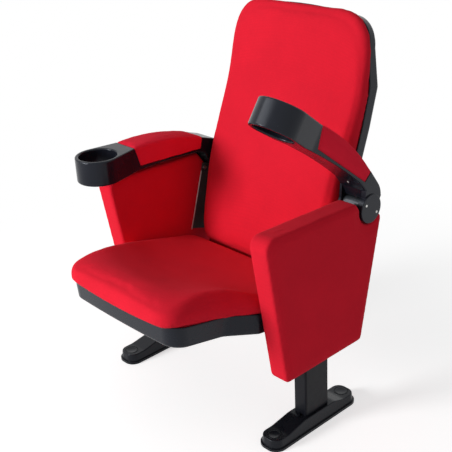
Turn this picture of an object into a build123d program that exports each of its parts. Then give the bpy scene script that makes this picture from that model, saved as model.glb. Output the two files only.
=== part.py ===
from build123d import *
import os
from math import acos, atan, atan2, cos, radians, sin, sqrt

os.makedirs("parts", exist_ok=True)

# Tip-up auditorium seat with lifting cup-holder armrests.
# Millimetres. +X is to the right of a viewer who faces the seat, the seat's front faces -Y,
# +Z is up. The origin is on the floor, midway between the four anchor bolt holes.

# ---------------------------------------------------------------- driving dimensions
pitch = 588.0  # between the two standards' centre planes
running_gap = 0.05  # radial clearance of a turning pin
seat_gap = 0.2  # clearance between pieces that seat in each other
soft_gap = 0.4  # clearance of a soft solid from another body

# foot
foot_length = 320.0
foot_width = 74.0
foot_end_radius = 30.0
foot_flange_height = 7.0
foot_flange_lip = 3.0
foot_end_height = 29.0
foot_post_height = 40.0
foot_crown_length = 116.0
foot_draft = 5.0
foot_slope_radius = 40.0  # where the top bends from the crown down to the ends
foot_wall = 3.0
foot_top_round = 2.5
small_chamfer = 0.8
plate_thickness = 6.0
plate_margin = 8.0
anchor_end = 30.0  # from the foot's end to each anchor bolt
anchor_hole_radius = 6.5
anchor_access_radius = 24.0  # level ground round each anchor bolt's cap
anchor_cap_radius = 19.0
anchor_cap_thickness = 2.5
anchor_ledge = 2.0

# post
post_width = 42.0
post_depth = 86.0
post_wall = 2.5
post_corner = 5.0
post_y = 11.0
post_top = 470.0
post_screw_head_radius = 7.0
post_screw_radius = 4.0
post_screw_head_height = 5.0

# upholstered side panel: corners of its side view (y, z)
panel_thickness = 60.0
panel_skin = 4.0
panel_front_top = (-169.5, 586.0)
panel_front_bottom = (-106.5, 180.0)
panel_rear_bottom = (178.0, 180.0)
panel_rear_top = (253.7, 523.0)
panel_notch = (188.0, 526.0)  # floor of the cut-away under the armrest's hinge
panel_crest = (152.0, 577.0)  # where the top edge turns down to that notch
panel_front_top_radius = 28.0
panel_corner_radius = 12.0
panel_edge_round = 8.0
panel_board = 6.0
panel_rim = 24.0
panel_block_front = 70.0  # solid core, forward of the post's centre
panel_block_rear = 45.0  # and rearward of the hinge

# armrest hinge
hinge_y = 205.0
hinge_z = 549.0
axle_radius = 8.0
bush_wall = 3.0
sleeve_radius = 12.0
barrel_radius = 18.0
cheek_radius = 37.0
cheek_pocket_gap = 3.5
cap_radius = 38.0
cap_thickness = 3.5
inner_cap_radius = 17.0
inner_cap_thickness = 2.0
cap_screw_offset = 24.5
cap_screw_radius = 2.0
cap_screw_head_radius = 4.0
cap_screw_head_height = 1.6
cap_screw_depth = 8.0
inner_cheek_radius = 26.0
bracket_thickness = 8.0
bracket_neck = 28.0
bracket_rise = 60.0
bracket_overlap = 90.0

# armrest, in its lowered pose: offsets from the hinge axis
arm_inset = 13.0  # armrest centre, inboard of the standard's centre
arm_width = 84.0
arm_outer_cheek = 14.0
arm_inner_cheek = 7.0
arm_cheek_gap = 0.5
ring_distance = 389.0
ring_inset = 4.0  # cup ring's centre, inboard of the armrest's centre
ring_outer_radius = 61.0
ring_wall = 10.0
ring_top = 113.6
ring_bottom = 46.0
arm_under = [(-212.0, 50.0), (-79.0, 43.0)]
arm_crest = [(-178.0, 112.0), (-54.0, 82.0), (-8.0, 66.5)]
arm_heel = (24.0, 41.0)
arm_heel_bend = (11.0, 56.0)
arm_neck_front = (-44.0, 32.0)
arm_heel_inner_radius = 22.5
arm_cheek_top = [(20.3, 43.5), (-40.0, 62.0)]  # the cheeks' upper corners, inside the body
arm_corner_radii = (120.0, 60.0, 15.0, 5.0, 3.0, 4.0, 12.0, 40.0, 60.0)  # pad's front to underside
arm_waist_radius = 60.0  # where the ring's flanks meet the straight sides
arm_edge_round = 4.0
arm_column_reach = 80.0
pad_front_low = (-280.0, 60.0)
pad_front_top = (-296.0, 113.6)
pad_rear_low = (-62.0, 50.0)
pad_edge_round = 6.0
pad_core_width = 56.0
pad_core_rise = 12.0
pad_board_thickness = 5.0
pad_core_trim = 24.0
insert_width = 40.0
insert_thickness = 6.0
insert_low = 2.0
insert_trim = 30.0
arm_lift_shown = 35.0  # the right armrest is shown raised by this angle, in degrees

# seat
pivot_y = 40.0
pivot_z = 300.0
seat_slope = 9.7  # degrees, the seat falls towards its rear
seam_above_pivot = 30.0  # height of the cushion's seam plane over the pivot
seat_front = 410.0  # pivot to the pan's front edge, along the seat
seat_front_bow = 7.0
seat_side_gap = 10.0  # between the seat's rear corners and the side panels
seat_nose_inset = 44.0  # the nose is this much narrower, each side, than the rear
seat_nose_radius = 46.0
seat_waist_inset = 37.0
seat_waist_y = -245.0
seat_waist_radius = 45.0
seat_flare_y = -160.0
seat_flare_radius = 20.0
seat_rear = 72.0
seat_rear_radius = 10.0
cushion_tuck = 7.0
cushion_overhang = 3.0
hinge_plate_lip = 40.0
pan_depth = 55.0
pan_front_draft = 12.0
pan_side_draft = 4.0
pan_rear_draft = 2.0
pan_wall = 3.5
pan_bottom_round = 6.0
seat_board_thickness = 12.0
seat_board_gap = 1.5  # from the board's edge to the pan's wall
hinge_plate_thickness = 6.0
hinge_plate_inset = 16.0  # from the pan's side to the plate
hinge_plate_radius = 17.0
hinge_plate_reach = 120.0
pivot_radius = 10.0
pivot_reach = 17.0  # how far the pin passes through the hinge plate
pivot_flange_radius = 24.0
pivot_flange_thickness = 4.5
pivot_bush_wall = 3.0
pivot_bush_overhang = 3.0
spring_wire_radius = 1.5
spring_turns = 4
spring_gap = 0.3
stop_radius = 38.0
stop_angles = (188.0, 208.0)
bumper_angles = (172.0, 187.4)
bumper_radii = (27.0, 36.0)

# back
back_slope = 0.3  # rearward travel for each unit of height
back_foot = (156.0, 343.0)  # (y, z) where the back's seam plane passes the seat
back_bend = 485.0  # above here the head part stands more upright
back_top = 680.0
head_forward = 30.0  # the seam's forward reach at the top
shell_depth = 34.0
shell_wall = 4.0
shell_bottom = -95.0
shell_lip = 2.0
shell_rear_round = 8.0
back_side_gap = 24.0  # between the back's widest rim and the side panels
back_foot_inset = 22.0  # insets from the back's widest rim
back_foot_radius = 40.0
back_top_inset = 80.0
back_top_drop = 10.0
back_reach = 150.0  # enough to cut right through the back
shoulder_bulge = (15.0, 11.0)
head_rear = 9.0
head_kink = 140.0  # from the bend up to where the head's rear face turns
head_kink_depth = 8.0
board_thickness = 10.0
board_bottom = -60.0
board_top = 640.0
side_bracket_thickness = 5.0
side_bracket_front = 50.0
side_bracket_rear = 30.0
side_bracket_low = -2.0
side_bracket_high = 196.0
bracket_barrel_gap = 1.0
spacer_radius = 10.0
spacer_stations = (40.0, 150.0)
spacer_forward = -17.0
plate_screws = ((20.0, -10.0), (183.0, 42.0))  # (up the back, forward)
bracket_screw_radius = 3.0
bracket_screw_head_radius = 6.0
bracket_screw_head_height = 3.0

# ---------------------------------------------------------------- derived places
half_pitch = pitch / 2
panel_inner = half_pitch - panel_thickness / 2
arm_half = arm_width / 2
arm_outer = arm_half - arm_inset  # armrest faces, measured outwards from the standard
arm_inner = -arm_half - arm_inset
outer_cheek_face = arm_outer - arm_outer_cheek
inner_cheek_face = arm_inner + arm_inner_cheek
cheek_pocket_start = outer_cheek_face - 2
barrel_ends = (inner_cheek_face + arm_cheek_gap, outer_cheek_face - arm_cheek_gap)
bush_radius = axle_radius + running_gap + bush_wall
post_screw_y = post_y - post_depth / 2 - post_screw_head_radius - 2
anchor_spacing = foot_length - 2 * anchor_end
ring_inner_radius = ring_outer_radius - ring_wall
seat_rear_half = panel_inner - seat_side_gap
seat_nose_half = seat_rear_half - seat_nose_inset
seat_waist_half = seat_rear_half - seat_waist_inset
cushion_half = seat_rear_half + cushion_overhang
hinge_plate_face = seat_rear_half - hinge_plate_inset  # outer face of the steel plate
back_wide_half = panel_inner - back_side_gap
slope = radians(seat_slope)
recline = atan(back_slope)
side_names = {1: "right", -1: "left"}

# The seat's own plane: x is the seat's X, y runs to its rear, z points up out of the cushion.
seam = Plane(
    origin=(0, pivot_y, pivot_z + seam_above_pivot),
    x_dir=(1, 0, 0),
    z_dir=(0, sin(slope), cos(slope)),
)
# the pivot's place in the seat's plane
eye = (seam_above_pivot * sin(slope), -seam_above_pivot * cos(slope))
# The back's own plane: x is the seat's X, y runs up the back, z points forward.
back = Plane(
    origin=(0, back_foot[0], back_foot[1]),
    x_dir=(1, 0, 0),
    z_dir=(0, -cos(recline), sin(recline)),
)


def save(builder, label):
    """Label a finished piece and write its file."""
    builder.part.label = label
    export_step(builder.part, f"parts/{label}.step")


def slab(side, inner, outer):
    """A side-view plane (its x is Y, its y is Z) and the depth of a slice of one standard.

    inner and outer are measured outwards from that standard's centre plane.
    """
    ends = sorted((side * (half_pitch + inner), side * (half_pitch + outer)))
    return Plane(origin=(ends[0], 0, 0), x_dir=(0, 1, 0), z_dir=(1, 0, 0)), ends[1] - ends[0]


def slice_of(side, inner, outer, outline, mode=Mode.ADD):
    """Extrude a side-view outline across part of one standard."""
    plane, depth = slab(side, inner, outer)
    with BuildSketch(plane) as profile:
        add(outline)
    extrude(profile.sketch, amount=depth, mode=mode)


def disc(radius, y, z):
    """A round outline."""
    with BuildSketch() as outline:
        with Locations((y, z)):
            Circle(radius)
    return outline.sketch


def box_outline(low, high):
    """A rectangular outline between two corners."""
    with BuildSketch() as outline:
        with Locations(((low[0] + high[0]) / 2, (low[1] + high[1]) / 2)):
            Rectangle(high[0] - low[0], high[1] - low[1])
    return outline.sketch


def polygon(*points):
    """A closed outline of straight lines."""
    with BuildSketch() as outline:
        with BuildLine():
            Polyline(*points, close=True)
        make_face()
    return outline.sketch


# ---------------------------------------------------------------- foot and post
def foot_plan(inset, radius):
    """The foot from above, drawn inset mm inside its flange."""
    with BuildSketch() as outline:
        RectangleRounded(foot_width - 2 * inset, foot_length - 2 * inset, radius)
    return outline.sketch


def anchor_circles(radius):
    """A pair of circles over the two anchor bolts of one foot."""
    with BuildSketch() as outline:
        with GridLocations(0, anchor_spacing, 1, 2):
            Circle(radius)
    return outline.sketch


def foot_plane(side, height):
    """A level plane at one standard, height above the floor."""
    return Plane(origin=(side * half_pitch, 0, height))


def make_foot_plate(side):
    with BuildPart() as foot_plate:
        with BuildSketch(foot_plane(side, 0)):
            add(foot_plan(plate_margin, foot_end_radius - plate_margin))
            add(anchor_circles(anchor_hole_radius), mode=Mode.SUBTRACT)
            with Locations((0, post_screw_y)):
                Circle(post_screw_radius + seat_gap, mode=Mode.SUBTRACT)
        extrude(amount=plate_thickness)
    save(foot_plate, f"{side_names[side]}_foot_plate")


def foot_side_view():
    """The foot's top in side view: level at both ends and at the crown, with rounded bends."""
    crown = foot_crown_length / 2
    slope_start = anchor_spacing / 2 - anchor_access_radius
    with BuildSketch() as outline:
        with BuildLine():
            Polyline(
                (-foot_length, 0),
                (foot_length, 0),
                (foot_length, foot_end_height),
                (slope_start, foot_end_height),
                (post_y + crown, foot_post_height),
                (post_y - crown, foot_post_height),
                (-slope_start, foot_end_height),
                (-foot_length, foot_end_height),
                close=True,
            )
        make_face()
        fillet(vertices().filter_by(lambda v: abs(v.X) < foot_length / 2), foot_slope_radius)
    return outline.sketch


def make_foot_cover(side):
    with BuildPart() as foot_cover:
        # the drafted body, loft from the flange up to the crown's height
        with BuildSketch(foot_plane(side, 0)):
            add(foot_plan(foot_flange_lip, foot_end_radius - foot_flange_lip))
        with BuildSketch(foot_plane(side, foot_post_height)):
            inset = foot_flange_lip + foot_draft
            add(foot_plan(inset, foot_end_radius - inset))
        loft()
        # its top falls from the post towards both ends
        slice_of(side, -foot_width, foot_width, foot_side_view(), Mode.INTERSECT)
        top_rim = foot_cover.edges().group_by(Axis.Z)[-1].filter_by(Axis.Y)
        fillet(top_rim, foot_top_round)
        with BuildSketch(foot_plane(side, 0)):
            add(foot_plan(0, foot_end_radius))
        extrude(amount=foot_flange_height)
        # the hollow underneath, which holds the steel plate
        with BuildSketch(foot_plane(side, 0)):
            add(foot_plan(plate_margin - seat_gap, foot_end_radius - plate_margin + seat_gap))
        extrude(amount=foot_end_height - foot_wall, mode=Mode.SUBTRACT)
        # the post's opening, the wells over the anchor bolts and the screw's hole
        with BuildSketch(foot_plane(side, 0)):
            with Locations((0, post_y)):
                RectangleRounded(post_width + 2 * seat_gap, post_depth + 2 * seat_gap, post_corner)
            add(anchor_circles(anchor_cap_radius - anchor_ledge))
            with Locations((0, post_screw_y)):
                Circle(post_screw_radius + seat_gap)
        extrude(amount=2 * foot_post_height, mode=Mode.SUBTRACT)
        with BuildSketch(foot_plane(side, foot_end_height - anchor_cap_thickness)):
            add(anchor_circles(anchor_cap_radius + seat_gap))
        extrude(amount=foot_post_height, mode=Mode.SUBTRACT)
    save(foot_cover, f"{side_names[side]}_foot_cover")


def make_anchor_caps(side):
    with BuildPart() as anchor_caps:
        with BuildSketch(foot_plane(side, foot_end_height - anchor_cap_thickness)):
            add(anchor_circles(anchor_cap_radius))
        extrude(amount=anchor_cap_thickness)
        chamfer(anchor_caps.edges().group_by(Axis.Z)[-1], small_chamfer)
    save(anchor_caps, f"{side_names[side]}_anchor_caps")


def make_post(side):
    with BuildPart() as post:
        with BuildSketch(foot_plane(side, plate_thickness)):
            with Locations((0, post_y)):
                RectangleRounded(post_width, post_depth, post_corner)
                RectangleRounded(
                    post_width - 2 * post_wall,
                    post_depth - 2 * post_wall,
                    post_corner - post_wall,
                    mode=Mode.SUBTRACT,
                )
        extrude(amount=post_top - plate_thickness)
    save(post, f"{side_names[side]}_post")


def make_post_screw(side):
    with BuildPart() as post_screw:
        with BuildSketch(foot_plane(side, 0)):
            with Locations((0, post_screw_y)):
                Circle(post_screw_radius)
        extrude(amount=foot_post_height)
        with BuildSketch(foot_plane(side, foot_post_height)):
            with Locations((0, post_screw_y)):
                RegularPolygon(post_screw_head_radius, 6)
        extrude(amount=post_screw_head_height)
        chamfer(post_screw.edges().group_by(Axis.Z)[-1], small_chamfer)
    save(post_screw, f"{side_names[side]}_post_screw")


# ---------------------------------------------------------------- upholstered side panel
def panel_outline(inset):
    """The panel's side view, drawn inset mm inside its outer edge."""
    with BuildSketch() as outline:
        with BuildLine():
            Polyline(
                panel_front_top,
                panel_front_bottom,
                panel_rear_bottom,
                panel_rear_top,
                panel_notch,
                panel_crest,
                close=True,
            )
        make_face()
        fillet(vertices().sort_by(Axis.X)[0], panel_front_top_radius)
        fillet(vertices().sort_by(Axis.X)[2:], panel_corner_radius)
        if inset:
            offset(amount=-inset)
    return outline.sketch


def bracket_outline(gap):
    """Side view of the steel plate that reaches from the post's top up to the arm hinge."""
    half = post_depth / 2 - post_wall - seat_gap + gap
    neck = bracket_neck / 2 + gap
    return polygon(
        (post_y - half, post_top - bracket_overlap - gap),
        (post_y + half, post_top - bracket_overlap - gap),
        (post_y + half, post_top + seat_gap - gap),
        (hinge_y + neck, hinge_z - bracket_rise),
        (hinge_y + neck, hinge_z),
        (hinge_y - neck, hinge_z),
        (hinge_y - neck, hinge_z - bracket_rise / 2),
        (post_y - half, post_top + gap),
    )


def post_slot(gap):
    """Side view of the space that the post takes inside the panel."""
    half = post_depth / 2 + gap
    return box_outline((post_y - half, 0), (post_y + half, post_top + gap))


def make_panel_core(side):
    reach = panel_thickness / 2 - panel_skin - seat_gap
    inset = panel_skin + seat_gap
    slot = bracket_thickness / 2 + seat_gap
    half_post = post_width / 2 + seat_gap
    pocket = cheek_radius + cheek_pocket_gap + panel_skin + seat_gap
    pocket_start = cheek_pocket_start - panel_skin - seat_gap
    with BuildPart() as panel_core:
        slice_of(side, -reach, reach, panel_outline(inset))
        # two boards joined by a rim, with a solid block round the post and its bracket
        with BuildSketch() as hollow:
            add(panel_outline(inset + panel_rim))
            block_low, block_high = (post_y - panel_block_front, 0), (hinge_y + panel_block_rear, hinge_z)
            add(box_outline(block_low, block_high), mode=Mode.SUBTRACT)
        slice_of(side, panel_board - reach, reach - panel_board, hollow.sketch, Mode.SUBTRACT)
        slice_of(side, -half_post, half_post, post_slot(seat_gap), Mode.SUBTRACT)
        slice_of(side, -slot, slot, bracket_outline(seat_gap), Mode.SUBTRACT)
        slice_of(side, pocket_start, reach + 1, disc(pocket, hinge_y, hinge_z), Mode.SUBTRACT)
        pin_hole = disc(pivot_radius + seat_gap, pivot_y, pivot_z)
        slice_of(side, -reach - 1, 0, pin_hole, Mode.SUBTRACT)
    save(panel_core, f"{side_names[side]}_panel_core")


def make_panel_upholstery(side):
    half = panel_thickness / 2
    slot = bracket_thickness / 2 + seat_gap
    half_post = post_width / 2 + seat_gap
    pocket = cheek_radius + cheek_pocket_gap
    with BuildPart() as panel_space:
        slice_of(side, panel_skin - half, half - panel_skin, panel_outline(panel_skin))
        liner = disc(pocket + panel_skin, hinge_y, hinge_z)
        slice_of(side, cheek_pocket_start - panel_skin, half, liner, Mode.SUBTRACT)
    with BuildPart() as panel_upholstery:
        slice_of(side, -half, half, panel_outline(0))
        fillet(panel_upholstery.faces().filter_by(Axis.X).edges(), panel_edge_round)
        slice_of(side, cheek_pocket_start, half + 1, disc(pocket, hinge_y, hinge_z), Mode.SUBTRACT)
        add(panel_space.part, mode=Mode.SUBTRACT)
        slice_of(side, -half_post, half_post, post_slot(seat_gap), Mode.SUBTRACT)
        slice_of(side, -slot, slot, bracket_outline(seat_gap), Mode.SUBTRACT)
        pin_hole = disc(pivot_radius + seat_gap, pivot_y, pivot_z)
        slice_of(side, -half - 1, 0, pin_hole, Mode.SUBTRACT)
    save(panel_upholstery, f"{side_names[side]}_panel_upholstery")


# ---------------------------------------------------------------- armrest hinge, fixed half
def make_hinge_bracket(side):
    half = bracket_thickness / 2
    with BuildPart() as hinge_bracket:
        slice_of(side, -half, half, bracket_outline(0))
        slice_of(side, *barrel_ends, disc(sleeve_radius, hinge_y, hinge_z))
        slice_of(side, *barrel_ends, disc(axle_radius, hinge_y, hinge_z), Mode.SUBTRACT)
    save(hinge_bracket, f"{side_names[side]}_hinge_bracket")


def make_hinge_barrel(side):
    slot = bracket_thickness / 2 + seat_gap
    with BuildPart() as hinge_barrel:
        slice_of(side, *barrel_ends, disc(barrel_radius, hinge_y, hinge_z))
        bore = disc(sleeve_radius + seat_gap / 4, hinge_y, hinge_z)
        slice_of(side, *barrel_ends, bore, Mode.SUBTRACT)
        slice_of(side, -slot, slot, bracket_outline(seat_gap), Mode.SUBTRACT)
    save(hinge_barrel, f"{side_names[side]}_hinge_barrel")


def make_arm_axle(side):
    with BuildPart() as arm_axle:
        slice_of(side, arm_inner + 1, arm_outer - 1, disc(axle_radius, hinge_y, hinge_z))
        chamfer(arm_axle.edges().filter_by(GeomType.CIRCLE), small_chamfer)
    save(arm_axle, f"{side_names[side]}_arm_axle")


# ---------------------------------------------------------------- armrest
def arm_turn(side):
    """How far this side's armrest is lifted in the shown pose."""
    return radians(arm_lift_shown) if side > 0 else 0.0


def arm_slice(side, inner, outer, outline, mode=Mode.ADD):
    """Extrude an outline in the armrest's own side view, whose centre is the hinge axis."""
    ends = sorted((side * (half_pitch + inner), side * (half_pitch + outer)))
    turn = arm_turn(side)
    plane = Plane(
        origin=(ends[0], hinge_y, hinge_z),
        x_dir=(0, cos(turn), -sin(turn)),
        z_dir=(1, 0, 0),
    )
    with BuildSketch(plane) as profile:
        add(outline)
    extrude(profile.sketch, amount=ends[1] - ends[0], mode=mode)


def arm_column(side, outline, mode):
    """Extrude an outline drawn from above the armrest right through it."""
    turn = arm_turn(side)
    across = arm_column_reach
    plane = Plane(
        origin=(
            side * (half_pitch - arm_inset),
            hinge_y - across * sin(turn),
            hinge_z - across * cos(turn),
        ),
        x_dir=(1, 0, 0),
        z_dir=(0, sin(turn), cos(turn)),
    )
    with BuildSketch(plane) as profile:
        add(outline)
    extrude(profile.sketch, amount=3 * across, mode=mode)


def heel_point(degrees_back, radius=None):
    """A point round the hinge axis, measured from straight up towards the rear."""
    radius = arm_heel_inner_radius if radius is None else radius
    angle = radians(degrees_back)
    return radius * sin(angle), radius * cos(angle)


def arm_side_view():
    """The armrest's side view: the ring's band, the arched body and the heel."""
    ring_front = -ring_distance - ring_outer_radius
    heel_start, heel_mid, heel_end = heel_point(-52), heel_point(-10), heel_point(32)
    under_start = (-ring_distance + ring_outer_radius, ring_bottom)
    corners = [pad_front_top, arm_crest[1], arm_crest[2], arm_heel, heel_end]
    corners += [heel_start, arm_neck_front, arm_under[1], under_start]
    with BuildSketch() as outline:
        with BuildLine():
            Polyline(pad_front_top, (ring_front, ring_top), (ring_front, ring_bottom), under_start)
            ThreePointArc(under_start, *arm_under)
            Polyline(arm_under[1], arm_neck_front, heel_start)
            ThreePointArc(heel_start, heel_mid, heel_end)
            Line(heel_end, arm_heel)
            ThreePointArc(arm_heel, arm_heel_bend, arm_crest[2])
            Line(arm_crest[2], arm_crest[1])
            ThreePointArc(arm_crest[1], arm_crest[0], pad_front_top)
        make_face()
        for corner, radius in zip(corners, arm_corner_radii):
            fillet(vertices().sort_by_distance((*corner, 0))[0], radius)
    return outline.sketch


def ring_tangent(centre, corner):
    """Where a straight side from a corner of the armrest touches the cup ring."""
    across, along = corner[0] - centre[0], corner[1] - centre[1]
    opening = acos(ring_outer_radius / sqrt(across**2 + along**2))
    turn = atan2(along, across) + (opening if across < 0 else -opening)
    return (
        centre[0] + ring_outer_radius * cos(turn),
        centre[1] + ring_outer_radius * sin(turn),
    )


def cup_centre(side):
    """The cup ring's centre from above, in the armrest's own plan."""
    return -side * ring_inset, -ring_distance


def arm_plan(side):
    """The armrest from above: the ring, and straight sides that leave it on tangents."""
    centre = cup_centre(side)
    rear = arm_heel[0] + ring_outer_radius
    left_side, right_side = (-arm_half, pad_front_top[0]), (arm_half, pad_front_top[0])
    left_touch, right_touch = ring_tangent(centre, left_side), ring_tangent(centre, right_side)
    with BuildSketch() as outline:
        with BuildLine():
            ThreePointArc(left_touch, (centre[0], centre[1] - ring_outer_radius), right_touch)
            Polyline(
                right_touch, right_side, (arm_half, rear), (-arm_half, rear), left_side, left_touch
            )
        make_face()
        for corner in (left_side, right_side):
            fillet(vertices().sort_by_distance((*corner, 0))[0], arm_waist_radius)
    return outline.sketch


def pad_floor(along):
    """A point on the straight lower edge of the pad."""
    fall = (pad_rear_low[1] - pad_front_low[1]) / (pad_rear_low[0] - pad_front_low[0])
    return along, pad_front_low[1] + (along - pad_front_low[0]) * fall


def pad_outline(trim):
    """The pad's side view, trim mm inside its ends."""
    front_low = pad_floor(pad_front_low[0] + trim)
    front_top = (pad_front_top[0] + trim, pad_front_top[1])
    rear_low = pad_floor(pad_rear_low[0] - trim)
    rear_top = (arm_crest[1][0] - trim, arm_crest[1][1])
    with BuildSketch() as outline:
        with BuildLine():
            Polyline(front_top, front_low, rear_low, rear_top)
            ThreePointArc(rear_top, arm_crest[0], front_top)
        make_face()
    return outline.sketch


def pad_recess():
    """The space the pad takes, carried up past the armrest's crest along the pad's end lines."""
    ends = []
    for low, high in ((pad_front_low, pad_front_top), (pad_rear_low, arm_crest[1])):
        ends += [low, (2 * high[0] - low[0], 2 * high[1] - low[1])]
    front_low, front_high, rear_low, rear_high = ends
    return polygon(front_low, rear_low, rear_high, front_high)


def pad_layer(low, high, trim):
    """A straight layer between two heights over the pad's lower edge, trim mm inside its ends."""
    front_y, front_z = pad_floor(pad_front_low[0] + trim)
    rear_y, rear_z = pad_floor(pad_rear_low[0] - trim)
    return polygon(
        (front_y, front_z + low),
        (rear_y, rear_z + low),
        (rear_y, rear_z + high),
        (front_y, front_z + high),
    )


def arm_side_edges(side, body):
    """The edges round both flanks of the armrest's body, without those that cross it."""
    turn = arm_turn(side)
    lift = Vector(0, sin(turn), cos(turn))
    crosses = arm_width - 2 * arm_edge_round - 1
    flank = [edge for edge in body.edges() if edge.bounding_box().size.X < crosses]
    tall = (ring_top - ring_bottom) / 2
    return [e for e in flank if e.length < tall or abs(e.tangent_at(0.5).dot(lift)) < 0.95]


def make_arm_shell(side):
    core_half = pad_core_width / 2
    bar_half = insert_width / 2 + seat_gap
    cheek_neck = polygon(
        arm_neck_front, (-inner_cheek_radius, 0), (inner_cheek_radius, 0), *arm_cheek_top
    )
    with BuildPart() as arm_shell:
        arm_slice(side, arm_inner - arm_half, arm_outer + arm_half, arm_side_view())
        arm_column(side, arm_plan(side), Mode.INTERSECT)
        fillet(arm_side_edges(side, arm_shell), arm_edge_round)
        # the two cheeks that hold the hinge
        arm_slice(side, outer_cheek_face, arm_outer, disc(cheek_radius, 0, 0))
        arm_slice(side, outer_cheek_face, arm_outer, cheek_neck)
        arm_slice(side, arm_inner, inner_cheek_face, disc(inner_cheek_radius, 0, 0))
        arm_slice(side, arm_inner, inner_cheek_face, cheek_neck)
        # cup hole, and the pad's seat with the rib that stands up into the pad
        with BuildSketch() as cup:
            with Locations(cup_centre(side)):
                Circle(ring_inner_radius)
        arm_column(side, cup.sketch, Mode.SUBTRACT)
        rims = arm_shell.edges().filter_by(GeomType.CIRCLE)
        rims = [edge for edge in rims if abs(edge.radius - ring_inner_radius) < 0.1]
        fillet(rims, arm_edge_round)
        arm_slice(side, arm_inner - 1, arm_outer + 1, pad_recess(), Mode.SUBTRACT)
        rib = pad_layer(-2, pad_core_rise, pad_core_trim)
        arm_slice(side, -arm_inset - core_half, -arm_inset + core_half, rib)
        bar = pad_layer(insert_low - seat_gap, insert_low + insert_thickness + seat_gap, insert_trim)
        arm_slice(side, -arm_inset - bar_half, -arm_inset + bar_half, bar, Mode.SUBTRACT)
        bush_hole = disc(bush_radius, 0, 0)
        arm_slice(side, arm_inner - 1, arm_outer + 1, bush_hole, Mode.SUBTRACT)
        for along in (-cap_screw_offset, cap_screw_offset):
            screw_hole = disc(cap_screw_radius + seat_gap, along, 0)
            arm_slice(side, arm_outer - cap_screw_depth, arm_outer + 1, screw_hole, Mode.SUBTRACT)
    save(arm_shell, f"{side_names[side]}_arm_shell")


def make_arm_insert(side):
    half = insert_width / 2
    with BuildPart() as arm_insert:
        bar = pad_layer(insert_low, insert_low + insert_thickness, insert_trim + seat_gap)
        arm_slice(side, -arm_inset - half, -arm_inset + half, bar)
    save(arm_insert, f"{side_names[side]}_arm_insert")


def make_arm_bushes(side):
    with BuildPart() as arm_bushes:
        arm_slice(side, outer_cheek_face, arm_outer, disc(bush_radius, 0, 0))
        arm_slice(side, arm_inner, inner_cheek_face, disc(bush_radius, 0, 0))
        bore = disc(axle_radius + running_gap, 0, 0)
        arm_slice(side, arm_inner - 1, arm_outer + 1, bore, Mode.SUBTRACT)
    save(arm_bushes, f"{side_names[side]}_arm_bushes")


def make_pad_board(side):
    half = pad_core_width / 2
    with BuildPart() as arm_pad_board:
        board = pad_layer(pad_core_rise, pad_core_rise + pad_board_thickness, pad_core_trim)
        arm_slice(side, -arm_inset - half, -arm_inset + half, board)
    save(arm_pad_board, f"{side_names[side]}_arm_pad_board")


def make_arm_pad(side):
    core_half = pad_core_width / 2 + seat_gap
    with BuildPart() as arm_pad:
        arm_slice(side, -arm_inset - arm_half, -arm_inset + arm_half, pad_outline(seat_gap))
        fillet(arm_pad.edges().filter_by(GeomType.CIRCLE), pad_edge_round)
        # room underneath for the armrest's rib and the pad's board
        room = pad_layer(-seat_gap, pad_core_rise + pad_board_thickness, pad_core_trim - seat_gap)
        arm_slice(side, -arm_inset - core_half, -arm_inset + core_half, room, Mode.SUBTRACT)
    save(arm_pad, f"{side_names[side]}_arm_pad")


def make_hinge_caps(side):
    with BuildPart() as outer_cap:
        arm_slice(side, arm_outer, arm_outer + cap_thickness, disc(cap_radius, 0, 0))
        outer_face = outer_cap.faces().filter_by(Axis.X).sort_by(Axis.X)[-1 if side > 0 else 0]
        fillet(outer_face.edges(), cap_thickness / 2)
        for along in (-cap_screw_offset, cap_screw_offset):
            hole = disc(cap_screw_radius + seat_gap, along, 0)
            arm_slice(side, arm_outer - 1, arm_outer + 2 * cap_thickness, hole, Mode.SUBTRACT)
    save(outer_cap, f"{side_names[side]}_hinge_cap_outer")
    with BuildPart() as inner_cap:
        arm_slice(side, arm_inner - inner_cap_thickness, arm_inner, disc(inner_cap_radius, 0, 0))
        inner_face = inner_cap.faces().filter_by(Axis.X).sort_by(Axis.X)[0 if side > 0 else -1]
        chamfer(inner_face.edges(), inner_cap_thickness / 2)
    save(inner_cap, f"{side_names[side]}_hinge_cap_inner")


def make_cap_screws(side):
    face = arm_outer + cap_thickness
    with BuildPart() as cap_screws:
        for along in (-cap_screw_offset, cap_screw_offset):
            arm_slice(side, arm_outer - cap_screw_depth, face, disc(cap_screw_radius, along, 0))
            head = disc(cap_screw_head_radius, along, 0)
            arm_slice(side, face, face + cap_screw_head_height, head)
    save(cap_screws, f"{side_names[side]}_cap_screws")


# ---------------------------------------------------------------- seat
def seat_slice(plane_x, depth, outline, mode=Mode.ADD):
    """Extrude an outline of the seat's own side view (rearwards, upwards) from plane_x along +X."""
    origin = (plane_x, seam.origin.Y, seam.origin.Z)
    plane = Plane(origin=origin, x_dir=seam.y_dir, z_dir=(1, 0, 0))
    with BuildSketch(plane) as profile:
        add(outline)
    extrude(profile.sketch, amount=depth, mode=mode)


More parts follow.
